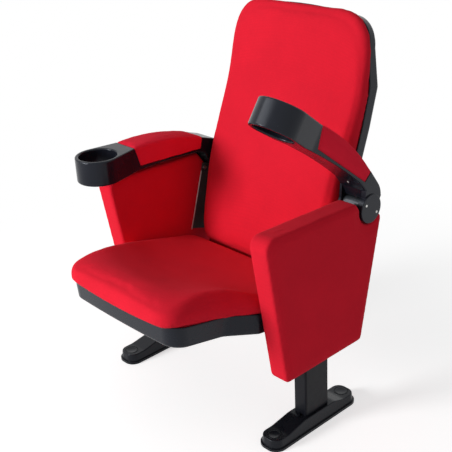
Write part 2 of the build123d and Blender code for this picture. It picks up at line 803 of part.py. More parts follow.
def seat_outline(front_inset, side_inset, rear_inset):
    """The pan's rim from above: bowed front, round nose corners, narrow waist, wide rear."""
    nose = seat_nose_half - side_inset
    front = -seat_front + front_inset
    waist = seat_waist_half - side_inset
    wide = seat_rear_half - rear_inset
    rear = seat_rear - rear_inset
    right = [(nose, front + seat_front_bow), (waist, seat_waist_y), (wide, seat_flare_y), (wide, rear)]
    left = [(-x, y) for x, y in reversed(right)]
    with BuildSketch() as outline:
        with BuildLine():
            ThreePointArc(left[-1], (0, front), right[0])
            Polyline(*right, *left)
        make_face()
        rows = vertices().group_by(Axis.Y)
        fillet(rows[0], seat_nose_radius)
        fillet(vertices().filter_by(lambda v: abs(v.Y - seat_waist_y) < 1), seat_waist_radius)
        fillet(vertices().filter_by(lambda v: abs(v.Y - seat_flare_y) < 1), seat_flare_radius)
        fillet(vertices().filter_by(lambda v: abs(v.Y - rear) < 1), seat_rear_radius)
    return outline.sketch


def seam_offset(height):
    """The plane parallel to the seat's seam at a height over it."""
    return seam.offset(height)


def make_seat_pan():
    wall = pan_wall
    with BuildPart() as seat_pan:
        with BuildSketch(seam_offset(-pan_depth)):
            add(seat_outline(pan_front_draft, pan_side_draft, pan_rear_draft))
        with BuildSketch(seam):
            add(seat_outline(0, 0, 0))
        loft(ruled=True)
        fillet(seat_pan.faces().sort_by(Axis(seam.origin, seam.z_dir))[0].edges(), pan_bottom_round)
        with BuildSketch(seam_offset(wall - pan_depth)):
            add(seat_outline(pan_front_draft + wall, pan_side_draft + wall, pan_rear_draft + wall))
        with BuildSketch(seam_offset(1)):
            add(seat_outline(wall, wall, wall))
        loft(ruled=True, mode=Mode.SUBTRACT)
        pin_hole = disc(pivot_radius + pivot_bush_wall, *eye)
        seat_slice(-half_pitch, pitch, pin_hole, Mode.SUBTRACT)
    save(seat_pan, "seat_pan")


def make_seat_board():
    room = pan_wall + seat_board_gap
    inset = room + seat_board_thickness * pan_front_draft / pan_depth
    side_inset = room + seat_board_thickness * pan_side_draft / pan_depth
    rear_inset = room + seat_board_thickness * pan_rear_draft / pan_depth
    with BuildPart() as seat_board:
        with BuildSketch(seam_offset(-seat_board_thickness)):
            add(seat_outline(inset, side_inset, rear_inset))
        extrude(amount=seat_board_thickness)
    save(seat_board, "seat_board")


# Seat cushion sections from front to rear: place along the seat, inset from the cushion's half
# width, lower edge, height of the side roll, height at the middle.
seat_sections = [
    (-421.0, 101.0, 8.0, 22.0, 25.0),
    (-416.0, 77.0, 3.0, 33.0, 36.0),
    (-402.0, 58.0, 0.0, 41.0, 45.0),
    (-380.0, 47.0, 0.0, 48.0, 52.0),
    (-345.0, 43.5, 0.0, 56.0, 53.0),
    (-300.0, 40.0, 0.0, 60.0, 46.0),
    (-245.0, 33.0, 0.0, 57.0, 38.0),
    (-200.0, 17.0, 0.0, 49.0, 33.0),
    (-165.0, 3.0, 0.0, 41.0, 30.0),
    (-100.0, 0.0, 0.0, 34.0, 26.0),
    (0.0, 0.0, 0.0, 26.0, 22.0),
    (60.0, 1.0, 0.0, 18.0, 18.5),
    (75.0, 7.0, 1.0, 9.0, 10.0),
]


def make_seat_cushion():
    with BuildPart() as seat_cushion:
        for along, inset, low, edge, middle in seat_sections:
            half = cushion_half - inset
            foot = half - cushion_tuck
            belly = low + (edge - low) * 0.45
            roll = half - (edge - low) * 0.55
            plane = Plane(
                origin=seam.from_local_coords((0, along, 0)), x_dir=(1, 0, 0), z_dir=-seam.y_dir
            )
            with BuildSketch(plane):
                with BuildLine():
                    Line((-foot, low), (foot, low))
                    ThreePointArc((foot, low), (half, belly), (roll, edge))
                    ThreePointArc((roll, edge), (0, middle), (-roll, edge))
                    ThreePointArc((-roll, edge), (-half, belly), (-foot, low))
                make_face()
        loft()
        # the cushion lies flat on the seat's board
        with BuildSketch(seam_offset(-pan_depth)):
            Rectangle(2 * half_pitch, 4 * half_pitch)
        extrude(amount=pan_depth, mode=Mode.SUBTRACT)
    save(seat_cushion, "seat_cushion")


def make_seat_hinge_plates():
    rear = eye[0] + hinge_plate_radius
    web = polygon(
        (-hinge_plate_reach, -seat_board_thickness),
        (rear, -seat_board_thickness),
        (rear, eye[1]),
        (eye[0] - hinge_plate_radius, eye[1] - hinge_plate_radius / 2),
    )
    lip = box_outline(
        (-hinge_plate_reach, -seat_board_thickness - hinge_plate_thickness / 2),
        (eye[0] - hinge_plate_radius, -seat_board_thickness),
    )
    with BuildPart() as seat_hinge_plates:
        for side in side_names:
            start = min(side * hinge_plate_face, side * (hinge_plate_face - hinge_plate_thickness))
            seat_slice(start, hinge_plate_thickness, web)
            seat_slice(start, hinge_plate_thickness, disc(hinge_plate_radius, *eye))
            inner = min(side * hinge_plate_face, side * (hinge_plate_face - hinge_plate_lip))
            seat_slice(inner, hinge_plate_lip, lip)
        bush_hole = disc(pivot_radius + running_gap + pivot_bush_wall, *eye)
        seat_slice(-half_pitch, pitch, bush_hole, Mode.SUBTRACT)
    save(seat_hinge_plates, "seat_hinge_plates")


def make_seat_bushes():
    with BuildPart() as seat_bushes:
        for side in side_names:
            low = hinge_plate_face - hinge_plate_thickness - pivot_bush_overhang
            high = hinge_plate_face + pivot_bush_overhang
            start = min(side * low, side * high)
            seat_slice(start, high - low, disc(pivot_radius + running_gap + pivot_bush_wall, *eye))
        bore = disc(pivot_radius + running_gap, *eye)
        seat_slice(-half_pitch, pitch, bore, Mode.SUBTRACT)
    save(seat_bushes, "seat_bushes")


def make_seat_springs():
    coil = pivot_radius + spring_wire_radius + 1.5
    step = 2 * spring_wire_radius + 0.4
    bush_end = hinge_plate_face - hinge_plate_thickness - pivot_bush_overhang
    outer = bush_end - spring_gap - spring_wire_radius
    with BuildPart() as seat_springs:
        for side in side_names:
            start = min(side * outer, side * (outer - step * spring_turns))
            with BuildLine() as wire_path:
                Helix(
                    pitch=step,
                    height=step * spring_turns,
                    radius=coil,
                    center=(start, pivot_y, pivot_z),
                    direction=(1, 0, 0),
                )
            with BuildSketch(Plane(origin=wire_path.line @ 0, z_dir=wire_path.line % 0)):
                Circle(spring_wire_radius)
            sweep(path=wire_path.line, is_frenet=True)
    save(seat_springs, "seat_springs")


def ring_sector(radii, angles):
    """A piece of a ring round the seat's pivot in side view, between two angles from +Y."""
    corners = []
    for radius, angle in ((0, 0), (1, 0), (1, 1), (0, 1)):
        turn = radians(angles[angle])
        corners.append((pivot_y + radii[radius] * cos(turn), pivot_z + radii[radius] * sin(turn)))
    return polygon(*corners)


def make_seat_bumpers():
    outer = -panel_thickness / 2 - soft_gap
    inner = seat_rear_half - half_pitch
    with BuildPart() as seat_bumpers:
        for side in side_names:
            slice_of(side, inner, outer, ring_sector(bumper_radii, bumper_angles))
    save(seat_bumpers, "seat_bumpers")


def make_seat_pivot(side):
    """The fixed pin that carries one side of the seat, with its flange and stop nose."""
    face = -post_width / 2
    skin = -panel_thickness / 2
    end = hinge_plate_face - hinge_plate_thickness - pivot_reach - half_pitch
    with BuildPart() as seat_pivot:
        slice_of(side, end, face, disc(pivot_radius, pivot_y, pivot_z))
        flange = disc(pivot_flange_radius, pivot_y, pivot_z)
        slice_of(side, skin - pivot_flange_thickness, skin, flange)
        nose = ring_sector((pivot_radius, stop_radius), stop_angles)
        slice_of(side, skin - pivot_flange_thickness, skin, nose)
    save(seat_pivot, f"{side_names[side]}_seat_pivot")


# ---------------------------------------------------------------- back
# Back cushion sections from foot to head: place up the back, inset from the widest, rear face,
# front of the side roll, front at the middle, radius of the side roll.
back_sections = [
    (-22.0, 24.0, 4.0, 22.0, 24.0, 8.0),
    (-12.0, 14.0, 0.0, 31.0, 33.0, 13.0),
    (10.0, 8.0, 0.0, 40.0, 43.0, 18.0),
    (60.0, 6.0, 0.0, 50.0, 55.0, 20.0),
    (130.0, 6.0, 0.0, 58.0, 65.0, 22.0),
    (200.0, 6.0, 0.0, 64.0, 71.0, 24.0),
    (270.0, 6.0, 0.0, 63.0, 70.0, 24.0),
    (320.0, 4.0, 0.0, 56.0, 63.0, 24.0),
    (370.0, 1.0, 0.0, 47.0, 54.0, 22.0),
    (420.0, 0.0, 0.0, 40.0, 47.0, 20.0),
    (485.0, 0.0, 0.0, 36.0, 43.0, 18.0),
    (540.0, 3.0, 9.0, 40.0, 47.0, 17.0),
    (590.0, 11.0, 17.0, 45.0, 52.0, 16.0),
    (630.0, 27.0, 23.0, 48.0, 55.0, 14.0),
    (655.0, 48.0, 27.0, 49.0, 54.0, 12.0),
    (670.0, 74.0, 29.0, 47.0, 51.0, 9.0),
    (679.0, 110.0, 30.0, 42.0, 45.0, 5.0),
]


def seam_forward(along):
    """How far the back's seam has bent forward at a place up the back."""
    return max(0.0, head_forward * (along - back_bend) / (back_top - back_bend))


def behind_seam(gap):
    """Side view of everything behind the cushion, up to gap mm in front of the seam."""
    low, high = shell_bottom - 5, back_top + 5
    return polygon(
        (low, gap),
        (back_bend, gap),
        (high, seam_forward(high) + gap),
        (high, -back_reach),
        (low, -back_reach),
    )


def make_back_cushion():
    with BuildPart() as back_cushion:
        for along, inset, rear, edge, middle, radius in back_sections:
            half = back_wide_half - inset
            corner = radius * cos(radians(45))
            plane = Plane(
                origin=back.from_local_coords((0, along, 0)), x_dir=(1, 0, 0), z_dir=-back.y_dir
            )
            with BuildSketch(plane):
                with BuildLine():
                    Polyline((-half, edge - radius), (-half, rear), (half, rear), (half, edge - radius))
                    for turn in (1, -1):
                        ThreePointArc(
                            (turn * half, edge - radius),
                            (turn * (half - radius + corner), edge - radius + corner),
                            (turn * (half - radius), edge),
                        )
                    ThreePointArc((half - radius, edge), (0, middle), (radius - half, edge))
                make_face()
        loft()
        back_slice(half_pitch, behind_seam(seat_gap), Mode.SUBTRACT)
    save(back_cushion, "back_cushion")


# The back's rim: place up the back, inset from the widest.
back_rim = [(0.0, 6.0), (270.0, 6.0), (400.0, 0.0), (505.0, 0.0), (600.0, 14.0)]


def rim_outline(grow, bottom):
    """The back from the front, grown past the cushion's rim and cut at a lower end."""
    top = back_top + grow
    wide = back_wide_half + grow
    right = [(wide - back_foot_inset, bottom)] + [(wide - inset, along) for along, inset in back_rim]
    left = [(-x, y) for x, y in reversed(right)]
    shoulder = right[-1]
    bend = (back_wide_half - back_top_inset + grow / 2, top - back_top_drop)
    bulge = (shoulder[0] - shoulder_bulge[0], (shoulder[1] + bend[1]) / 2 + shoulder_bulge[1])
    with BuildSketch() as outline:
        with BuildLine():
            Polyline(*left, *right)
            ThreePointArc(shoulder, bulge, bend)
            ThreePointArc(bend, (0, top), (-bend[0], bend[1]))
            ThreePointArc((-bend[0], bend[1]), (-bulge[0], bulge[1]), (-shoulder[0], shoulder[1]))
        make_face()
        fillet(vertices().group_by(Axis.Y)[0], back_foot_radius)
    return outline.sketch


def back_slice(half, outline, mode=Mode.ADD):
    """Extrude an outline of the back's side view (up the back, forward) across its width."""
    plane = Plane(origin=back.from_local_coords((-half, 0, 0)), x_dir=back.y_dir, z_dir=(1, 0, 0))
    with BuildSketch(plane) as profile:
        add(outline)
    extrude(profile.sketch, amount=2 * half, mode=mode)


def back_column(outline, mode):
    """Extrude an outline drawn from the front of the back right through it."""
    with BuildSketch(back.offset(-back_reach)) as profile:
        add(outline)
    extrude(profile.sketch, amount=2 * back_reach, mode=mode)


def shell_outline(inset):
    """Side view of the shell's body, inset mm inside its rear face and open past its front."""
    low, high = shell_bottom - 5, back_top + 5
    front = 20 if inset else 0
    return polygon(
        (low, front),
        (back_bend, front),
        (high, seam_forward(high) + front),
        (high, head_rear + inset),
        (back_bend + head_kink, head_rear - head_kink_depth + inset),
        (back_bend, inset - shell_depth),
        (0, inset - shell_depth),
        (low, inset - shell_depth / 2),
    )


def make_back_shell():
    with BuildPart() as back_shell:
        back_slice(half_pitch, shell_outline(0))
        back_column(rim_outline(shell_lip, shell_bottom), Mode.INTERSECT)
        rear_faces = back_shell.faces().sort_by(Axis(back.origin, back.z_dir))[:2]
        flanks = [edge for face in rear_faces for edge in face.edges()]
        fillet([e for e in flanks if e.bounding_box().size.X < back_foot_radius], shell_rear_round)
        with BuildPart(mode=Mode.PRIVATE) as hollow:
            back_slice(half_pitch, shell_outline(shell_wall))
            back_column(rim_outline(shell_lip - shell_wall, shell_bottom + shell_wall), Mode.INTERSECT)
        add(hollow.part, mode=Mode.SUBTRACT)
        for side in side_names:
            for along in spacer_stations:
                hole = back_disc(bracket_screw_radius + seat_gap, along, spacer_forward)
                slice_of(side, -half_pitch, 0, hole, Mode.SUBTRACT)
    save(back_shell, "back_shell")


def back_disc(radius, along, forward):
    """A round side-view outline at a place given in the back's own plane."""
    centre = back.from_local_coords((0, along, forward))
    return disc(radius, centre.Y, centre.Z)


def back_quad(*places):
    """A side-view polygon whose corners are given in the back's own plane."""
    corners = [back.from_local_coords((0, along, forward)) for along, forward in places]
    return polygon(*[(corner.Y, corner.Z) for corner in corners])


def make_back_board():
    with BuildPart() as back_board:
        front = -seat_gap
        rear = front - board_thickness
        rise = seam_forward(board_top)
        side_view = polygon(
            (board_bottom, rear),
            (back_bend, rear),
            (board_top, rise + rear),
            (board_top, rise + front),
            (back_bend, front),
            (board_bottom, front),
        )
        back_slice(half_pitch, side_view)
        rim_gap = shell_lip - shell_wall - seat_gap
        back_column(rim_outline(rim_gap, shell_bottom + shell_wall), Mode.INTERSECT)
    save(back_board, "back_board")


def make_back_bracket(side):
    """Steel side plate on the panel, with two spacers that reach in to the back's shell."""
    plate_outer = -panel_thickness / 2 - seat_gap
    plate_inner = plate_outer - side_bracket_thickness
    shell_side = back_wide_half - back_rim[0][1] + shell_lip - half_pitch
    with BuildPart() as back_bracket:
        plate = back_quad(
            (side_bracket_low, side_bracket_front),
            (side_bracket_high, side_bracket_front),
            (side_bracket_high, -side_bracket_rear),
            (side_bracket_low, -side_bracket_rear),
        )
        slice_of(side, plate_inner, plate_outer, plate)
        barrel_space = disc(barrel_radius + bracket_barrel_gap, hinge_y, hinge_z)
        slice_of(side, plate_inner - 1, plate_outer + 1, barrel_space, Mode.SUBTRACT)
        for along in spacer_stations:
            spacer = back_disc(spacer_radius, along, spacer_forward)
            slice_of(side, shell_side, plate_inner, spacer)
            hole = back_disc(bracket_screw_radius + seat_gap, along, spacer_forward)
            slice_of(side, shell_side - 1, plate_outer + 1, hole, Mode.SUBTRACT)
        for along, forward in plate_screws:
            hole = back_disc(bracket_screw_radius + seat_gap, along, forward)
            slice_of(side, plate_inner - 1, plate_outer + 1, hole, Mode.SUBTRACT)
    save(back_bracket, f"{side_names[side]}_back_bracket")


def make_bracket_screws(side):
    """Screws through the side plate: two into the panel's board, two into the back."""
    plate_outer = -panel_thickness / 2 - seat_gap
    plate_inner = plate_outer - side_bracket_thickness
    shell_side = back_wide_half - back_rim[0][1] + shell_lip - half_pitch
    with BuildPart() as bracket_screws:
        for along, forward in plate_screws:
            shank = back_disc(bracket_screw_radius, along, forward)
            slice_of(side, plate_inner, plate_outer, shank)
            head = back_disc(bracket_screw_head_radius, along, forward)
            slice_of(side, plate_inner - bracket_screw_head_height, plate_inner, head)
        for along in spacer_stations:
            shank = back_disc(bracket_screw_radius, along, spacer_forward)
            slice_of(side, shell_side - shell_wall, plate_outer, shank)
            nut = back_disc(bracket_screw_head_radius, along, spacer_forward)
            inside = shell_side - shell_wall
            slice_of(side, inside - bracket_screw_head_height, inside, nut)
    save(bracket_screws, f"{side_names[side]}_bracket_screws")


make_seat_pan()
make_seat_board()
make_seat_cushion()
make_seat_hinge_plates()
make_seat_bushes()
make_seat_springs()
make_seat_bumpers()
make_back_cushion()
make_back_shell()
make_back_board()
for side in side_names:
    make_foot_plate(side)
    make_foot_cover(side)
    make_anchor_caps(side)
    make_post(side)
    make_post_screw(side)
    make_panel_core(side)
    make_panel_upholstery(side)
    make_hinge_bracket(side)
    make_hinge_barrel(side)
    make_arm_axle(side)
    make_arm_shell(side)
    make_arm_insert(side)
    make_arm_bushes(side)
    make_pad_board(side)
    make_arm_pad(side)
    make_hinge_caps(side)
    make_cap_screws(side)
    make_seat_pivot(side)
    make_back_bracket(side)
    make_bracket_screws(side)
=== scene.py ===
from math import atan2, cos, pi, radians, sin, tan

import bmesh
import bpy
import numpy as np
from mathutils import Matrix, Vector


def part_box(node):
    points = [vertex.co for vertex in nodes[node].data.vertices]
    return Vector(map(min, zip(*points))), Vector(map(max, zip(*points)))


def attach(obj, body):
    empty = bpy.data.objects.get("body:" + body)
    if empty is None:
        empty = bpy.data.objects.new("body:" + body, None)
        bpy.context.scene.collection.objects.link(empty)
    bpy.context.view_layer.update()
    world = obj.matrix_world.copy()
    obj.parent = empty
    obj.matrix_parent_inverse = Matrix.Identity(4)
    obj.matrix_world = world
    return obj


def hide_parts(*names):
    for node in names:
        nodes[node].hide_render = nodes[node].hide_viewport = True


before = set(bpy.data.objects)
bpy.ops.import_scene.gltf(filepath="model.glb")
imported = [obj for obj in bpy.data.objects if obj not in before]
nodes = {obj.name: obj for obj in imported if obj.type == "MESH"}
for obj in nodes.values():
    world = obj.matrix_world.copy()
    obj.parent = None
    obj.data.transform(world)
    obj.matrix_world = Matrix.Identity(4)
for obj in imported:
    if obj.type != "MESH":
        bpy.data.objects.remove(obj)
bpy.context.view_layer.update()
SIDES = {"right": 1, "left": -1}

# Places and sizes of the CAD model that the pieces are fitted to, in metres. Pairs are (y, z).
HALF_PITCH = 0.294  # from the middle to each standard's centre plane
PANEL_HALF = 0.030  # half the thickness of a side panel
PANEL_INSET, PANEL_ROUND = 0.0004, 0.0075  # the cover before it swells: in from the faces, rims
PANEL_CORNERS = [
    # y, z, corner radius
    (-0.1695, 0.586, 0.028),
    (-0.1065, 0.180, 0.012),
    (0.178, 0.180, 0.012),
    (0.2537, 0.523, 0.012),
    (0.188, 0.526, 0.012),
    (0.152, 0.577, 0.012),
]
POCKET_RADIUS = 0.0405  # the panel's cut-away round the hinge, and where it lies from the centre
POCKET_ENDS = (0.013, 0.050)
HINGE = (0.205, 0.549)  # the armrests' axis
ARM_LIFT = {"right": radians(35), "left": 0.0}  # how far each armrest stands raised
CAP_FACE = 0.029 + 0.0035  # outer face of the hinge cap, from the standard's centre
CAP_SCREW_OFFSET = 0.0245
UNDER_SCREW_X = 0.277  # the screw under each armrest, from the middle
UNDER_SCREW = ((-0.0658, 0.0389), (-0.3628, -0.9141))  # (rearward, up) of its head and its aim
ANCHOR_Y = (-0.130, 0.130)
SEAT_SEAM = (0.040, 0.330)  # the point of the seat's seam plane over its pivot
SEAT_SLOPE = radians(9.7)  # the seat falls towards its rear
SEAT_WIDEST_HALF = 0.2605
BACK_FOOT = (0.156, 0.343)  # where the back's seam plane passes the seat
BACK_LEAN = atan2(0.3, 1)
BACK_BEND, HEAD_HEIGHT = 0.485, 0.195  # the head part starts here, up the back, and is this high
HEAD_FORWARD = 0.030  # the seam's forward reach at the top
BRACKET_ENDS = (0.2632, 0.2596)  # the side bracket's edge, from the middle
BRACKET_EDGE = ((-0.006, 0.172), (0.0499, 0.0508))  # (up the back), (forward)

# Seat cushion: the cloth sags over the pan's edge, in the middle of its front and at its waist.
SAG_HEIGHT = 0.022  # above the seam, where the sag ends
FRONT_SAG, FRONT_BULGE, WAIST_SAG = 0.0105, 0.0025, 0.0045
FRONT_SAG_HALF = 0.215  # half the width over which the front sags

# Back cushion: its rim is drawn out to the shell's edge, most at the top corners.
RIM_SPREAD, CORNER_SPREAD = 0.0010, 0.0095
RIM_CENTRE = 0.50  # up the back, the place that the rim is drawn away from

PRESSURE = 4.0  # of every cloth simulation
SEAM_LIFT = 0.0002  # keeps the seat cushion clear of the pan under it
BACK_SEAM_LIFT = 0.0003  # and the back cushion of its shell


# ---------------------------------------------------------------- materials
class Nodes:
    """The node tree of a material or a world, built up one node at a time."""

    def __init__(self, owner, output):
        owner.use_nodes = True
        self.owner = owner
        self.tree = owner.node_tree
        self.tree.nodes.clear()
        self.output = self.tree.nodes.new(output)
        self.place = self.tree.nodes.new("ShaderNodeTexCoord").outputs["Object"]

    def add(self, kind, values=None, **settings):
        node = self.tree.nodes.new(kind)
        for key, value in settings.items():
            setattr(node, key, value)
        for key, value in (values or {}).items():
            if isinstance(value, bpy.types.NodeSocket):
                self.tree.links.new(value, node.inputs[key])
            else:
                node.inputs[key].default_value = value
        return node

    def noise(self, scale, detail=3.0, rough=0.55, place=None):
        values = {
            "Vector": place or self.place, "Scale": scale, "Detail": detail, "Roughness": rough
        }
        return self.add("ShaderNodeTexNoise", values).outputs["Fac"]

    def math(self, operation, a, b=0.0, c=0.0):
        return self.add("ShaderNodeMath", {0: a, 1: b, 2: c}, operation=operation).outputs[0]

    def spread(self, value, low, high, from_low=0.0, from_high=1.0):
        values = {
            "Value": value, "From Min": from_low, "From Max": from_high,
            "To Min": low, "To Max": high,
        }
        return self.add("ShaderNodeMapRange", values).outputs["Result"]

    def mix(self, factor, a, b):
        node = self.add("ShaderNodeMix", {"Factor": factor}, data_type="RGBA")
        for socket, value in ((node.inputs[6], a), (node.inputs[7], b)):
            if isinstance(value, bpy.types.NodeSocket):
                self.tree.links.new(value, socket)
            else:
                socket.default_value = (*value, 1.0)
        return node.outputs[2]

    def bump(self, height, strength, distance, normal=None):
        values = {"Height": height, "Strength": strength, "Distance": distance}
        if normal is not None:
            values["Normal"] = normal
        return self.add("ShaderNodeBump", values).outputs["Normal"]

    def edges(self, radius):
        return self.add("ShaderNodeBevel", {"Radius": radius}, samples=4).outputs["Normal"]

    def surface(self, color, roughness, normal, **constants):
        values = {"Base Color": color, "Roughness": roughness, "Normal": normal}
        shader = self.add("ShaderNodeBsdfPrincipled", values)
        for key, value in constants.items():
            shader.inputs[key.replace("_", " ")].default_value = value
        return self.finish(shader)

    def finish(self, shader):
        self.tree.links.new(shader.outputs[0], self.output.inputs["Surface"])
        return self.owner


def material_nodes(name):
    return Nodes(bpy.data.materials.new(name), "ShaderNodeOutputMaterial")


def shade(color, factor, offset=0.0):
    """A colour made darker or lighter."""
    return tuple(min(1.0, c * factor + offset) for c in color)


def fabric(name, base):
    """Close-woven cloth: small basket weave, fibre fuzz, faint tone changes, painted shade in its
    hollows.
    """
    n = material_nodes(name)
    weave = 0.0017  # distance between two threads
    threads = None
    for axis in "XYZ":
        values = {
            "Vector": n.place, "Scale": 2 * pi / (20 * weave), "Distortion": 1.1, "Detail": 1.0,
            "Detail Scale": 1.6,
        }
        wave = n.add("ShaderNodeTexWave", values, bands_direction=axis).outputs["Fac"]
        threads = wave if threads is None else n.math("ADD", threads, wave)
    fibre = n.noise(3200.0, 2.0)
    height = n.math("MULTIPLY_ADD", fibre, 0.9, threads)
    patches = n.noise(7.0, 4.0)
    slub = n.noise(160.0, 2.0)
    color = n.mix(n.spread(patches, 0, 1, 0.3, 0.7), shade(base, 0.93), shade(base, 1.04))
    # painted shade: darker in the hollows of the weave, lighter on the threads' tops
    color = n.mix(n.spread(height, 0.30, 0.0, 0.6, 2.2), color, shade(base, 0.80))
    color = n.mix(n.spread(slub, 0.0, 0.25, 0.5, 0.75), color, shade(base, 1.12, 0.004))
    roughness = n.spread(slub, 0.86, 0.96)
    normal = n.bump(height, 0.35, 0.00022)
    return n.surface(
        color, roughness, normal, Sheen_Weight=0.10, Sheen_Roughness=0.45,
        Sheen_Tint=(1.0, 0.22, 0.28, 1.0), Specular_IOR_Level=0.12,
    )


def moulded(name, base, roughness, grain, level=0.23, edge=0.0009):
    """Moulded plastic: a fine spark-eroded grain, satin patches and slightly worn edges."""
    n = material_nodes(name)
    cells = n.add("ShaderNodeTexVoronoi", {"Vector": n.place, "Scale": 1500.0}).outputs["Distance"]
    pits = n.noise(900.0, 3.0)
    patches = n.noise(14.0, 3.0)
    scuffs = n.noise(75.0, 5.0, 0.7)
    height = n.math("MULTIPLY_ADD", pits, 0.7, cells)
    rounded = n.edges(edge)
    normal = n.bump(height, grain, 0.00012, rounded)
    flat = n.add("ShaderNodeNewGeometry").outputs["Normal"]
    dot = n.add("ShaderNodeVectorMath", {0: rounded, 1: flat}, operation="DOT_PRODUCT")
    bend = n.spread(dot.outputs["Value"], 1.0, 0.0, 0.80, 0.99)
    worn = n.math("MULTIPLY", bend, n.spread(scuffs, 0.1, 0.8, 0.4, 0.7))
    color = n.mix(n.spread(patches, 0, 0.5, 0.35, 0.7), base, shade(base, 1.35, 0.002))
    color = n.mix(n.math("MULTIPLY", worn, 0.5), color, shade(base, 2.6, 0.01))
    satin = n.math("MULTIPLY_ADD", scuffs, 0.6, patches)
    rough = n.spread(satin, roughness - 0.06, roughness + 0.08, 0.5, 1.1)
    return n.surface(
        color, rough, normal, Specular_IOR_Level=level, Specular_Tint=(0.86, 0.91, 1.0, 1.0)
    )


def coated(name, base):
    """Powder-coated steel with a light orange peel."""
    n = material_nodes(name)
    peel = n.noise(420.0, 2.0, 0.45)
    patches = n.noise(9.0, 3.0)
    rub = n.noise(60.0, 4.0, 0.65)
    rounded = n.edges(0.0012)
    normal = n.bump(peel, 0.25, 0.0002, rounded)
    color = n.mix(n.spread(patches, 0, 0.6, 0.3, 0.7), base, shade(base, 1.4))
    return n.surface(color, n.spread(rub, 0.30, 0.42, 0.35, 0.65), normal, Specular_IOR_Level=0.13)


def metal(name, base, roughness, metallic=1.0):
    """Zinc-plated steel and the bracket edges' near-white painted highlight, with fine turning
    marks.
    """
    n = material_nodes(name)
    stretched = n.add("ShaderNodeMapping", {"Vector": n.place, "Scale": (1, 9, 9)})
    marks = n.noise(500.0, 4.0, 0.6, stretched.outputs["Vector"])
    patches = n.noise(40.0, 3.0)
    color = n.mix(n.spread(patches, 0, 1, 0.3, 0.7), base, shade(base, 0.72))
    normal = n.bump(marks, 0.12, 0.0001, n.edges(0.0004))
    rough = n.spread(marks, roughness - 0.08, roughness + 0.1)
    return n.surface(color, rough, normal, Metallic=metallic)


def wood(name, light, dark):
    """Bare plywood."""
    n = material_nodes(name)
    stretched = n.add("ShaderNodeMapping", {"Vector": n.place, "Scale": (1, 14, 14)})
    grain = n.noise(22.0, 6.0, 0.65, stretched.outputs["Vector"])
    pores = n.noise(260.0, 2.0, 0.5, stretched.outputs["Vector"])
    color = n.mix(n.spread(grain, 0, 1, 0.35, 0.65), light, dark)
    normal = n.bump(n.math("ADD", grain, pores), 0.2, 0.0003)
    return n.surface(color, n.spread(grain, 0.55, 0.75), normal, Specular_IOR_Level=0.3)


def rubbery(name, base, roughness):
    """Rubber or nylon: matt, with a faint bloom."""
    n = material_nodes(name)
    bloom = n.noise(90.0, 4.0)
    fine = n.noise(700.0, 2.0)
    color = n.mix(n.spread(bloom, 0, 1, 0.35, 0.7), base, shade(base, 1.5, 0.004))
    rough = n.spread(bloom, roughness - 0.06, roughness + 0.06)
    return n.surface(color, rough, n.bump(fine, 0.2, 0.0002))


FABRIC = fabric("fabric_red", (0.80, 0.012, 0.033))
# painted light: the pads' cloth is the same red made brighter, standing in for more light on the
# pads
PAD_FABRIC_LIT = fabric("fabric_red_pad_lit", (0.96, 0.016, 0.048))
PLASTIC = moulded("plastic_black", (0.0085, 0.0096, 0.0150), 0.22, 0.08)
STEEL = coated("steel_black", (0.0055, 0.0060, 0.0090))
# painted light: the brackets' black steel made lighter, to make up for the deep shade they stand
# in
BRACKET_LIGHTENED = coated("steel_bracket", (0.055, 0.056, 0.056))
# painted highlight: near-white, not metallic, standing in for the light on the brackets' edges
EDGE_HIGHLIGHT = metal("painted_edge_highlight", (0.95, 0.95, 0.93), 0.5, 0.0)
FOOT = moulded("plastic_foot", (0.0050, 0.0054, 0.0080), 0.28, 0.10, 0.22)
SHELL = moulded("plastic_shell", (0.0085, 0.0096, 0.0150), 0.26, 0.10, 0.23, 0.006)
BARREL = moulded("barrel_grey", (0.045, 0.052, 0.060), 0.26, 0.05, 0.5)
ZINC = metal("steel_zinc", (0.70, 0.70, 0.68), 0.30)
PLY = wood("plywood", (0.55, 0.36, 0.18), (0.36, 0.21, 0.09))
NYLON = rubbery("nylon_pale", (0.62, 0.60, 0.52), 0.45)
RUBBER = rubbery("rubber_black", (0.012, 0.012, 0.012), 0.75)
FINISHES = {
    "red_fabric": FABRIC,
    "black_plastic": PLASTIC,
    "black_steel": STEEL,
    "zinc_steel": ZINC,
    "plywood": PLY,
    "pale_nylon": NYLON,
    "rubber": RUBBER,
}
for node_name, node in nodes.items():
    slot = node.data.materials[0].name.split(".")[0]
    finish = FINISHES[slot]
    if "foot_cover" in node_name or "anchor_caps" in node_name:
        finish = FOOT
    elif node_name in ("back_shell", "seat_pan"):
        finish = SHELL
    elif "back_bracket" in node_name:
        finish = BRACKET_LIGHTENED
    elif "hinge_barrel" in node_name:
        finish = BARREL
    elif node_name in ("seat_board", "back_board"):
        finish = FABRIC  # the cover is wrapped round the edges of these boards
    node.data.materials[0] = finish


# ---------------------------------------------------------------- mesh helpers
def new_object(name, mesh, material):
    mesh.name = name
    mesh.materials.clear()
    mesh.materials.append(material)
    mesh.polygons.foreach_set("use_smooth", [True] * len(mesh.polygons))
    piece = bpy.data.objects.new(name, mesh)
    bpy.context.scene.collection.objects.link(piece)
    return piece


def mesh_of(bm):
    mesh = bpy.data.meshes.new("mesh")
    bmesh.ops.recalc_face_normals(bm, faces=bm.faces)
    bm.to_mesh(mesh)
    bm.free()
    return mesh


def from_node(name, material):
    """A welded copy of a CAD node's mesh."""
    bm = bmesh.new()
    bm.from_mesh(nodes[name].data)
    bmesh.ops.remove_doubles(bm, verts=bm.verts, dist=1e-5)
    return new_object(name + "_form", mesh_of(bm), material)


